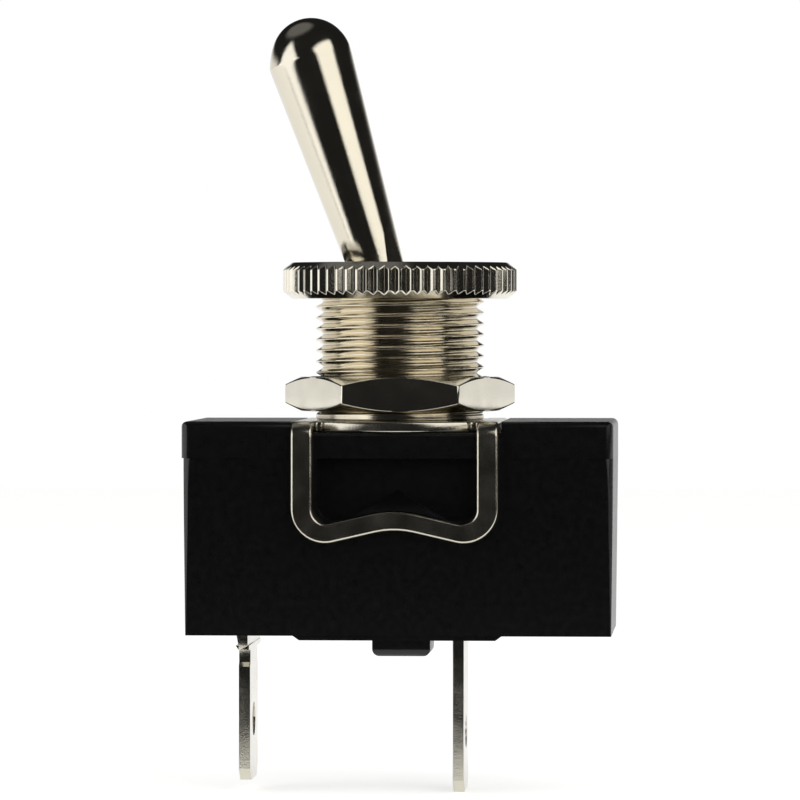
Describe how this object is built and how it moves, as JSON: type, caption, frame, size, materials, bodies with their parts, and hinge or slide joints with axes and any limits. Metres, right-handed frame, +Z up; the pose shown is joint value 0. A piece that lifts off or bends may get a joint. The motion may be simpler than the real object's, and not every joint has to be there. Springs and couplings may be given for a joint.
{
  "type": "panel toggle switch",
  "caption": "Panel toggle switch: a bat lever in a threaded bush with a knurled nut and a hex nut, a strapped housing and blade terminals below.",
  "frame": {"origin": "on the bush axis, in the top face of the hex nut, which is the seat for the back of the panel", "axes": "+Z up the bush towards the lever, +X towards the side of the common terminal, -Y to the front face with the first strap loop"},
  "size_m": [0.0301, 0.017, 0.0547],
  "materials": {
    "bat": "polished nickel plate",
    "bush": "nickel plate, turned",
    "nuts": "nickel plate, turned",
    "strap": "nickel plate, tumbled",
    "cover": "moulded black phenolic",
    "base": "moulded black phenolic",
    "blades": "tin plate",
    "contacts": "silver alloy",
    "rocker": "rolled copper alloy",
    "cradle": "rolled brass",
    "steel": "drawn steel",
    "plunger": "moulded nylon"
  },
  "bodies": {
    "housing": {"threaded_bush": "bush", "mounting_strap": "strap", "cover": "cover", "base": "base", "load_terminal": "blades", "common_terminal": "blades", "fixed_contact": "contacts", "rocker_cradle": "cradle", "cradle_rivet": "steel", "lever_pin": "steel"},
    "lever": {"lever": "bat", "lever_spring": "steel"},
    "plunger": {"plunger": "plunger"},
    "rocker": {"rocker": "rocker", "moving_contact": "contacts"},
    "knurled_nut": {"knurled_nut": "nuts"},
    "hex_nut": {"hex_nut": "nuts"}
  },
  "joints": [
    {"name": "lever_swing", "type": "hinge", "parent": "housing", "child": "lever", "pos_m": [0, 0, 0.002], "axis": [0, 1, 0], "range_deg": [0, 34.4]},
    {"name": "plunger_stroke", "type": "slide", "parent": "lever", "child": "plunger", "axis": [-0.2957, 0, 0.9553], "range_m": [0, 0.0012], "stiffness_N_per_m": 200, "springref_m": -0.005, "deforming": ["lever_spring"]},
    {"name": "rocker_tilt", "type": "hinge", "parent": "housing", "child": "rocker", "pos_m": [0, 0, -0.012], "axis": [0, 1, 0], "range_deg": [-16, 0]},
    {"name": "knurled_nut_travel", "type": "slide", "parent": "housing", "child": "knurled_nut", "axis": [0, 0, 1], "range_m": [-0.0026, 0.0015]},
    {"name": "hex_nut_travel", "type": "slide", "parent": "housing", "child": "hex_nut", "axis": [0, 0, 1], "range_m": [-0.00025, 0.0026]}
  ],
  "couplings": [
    {"joint": "rocker_tilt", "follows": "lever_swing", "ratio": -0.4651}
  ]
}
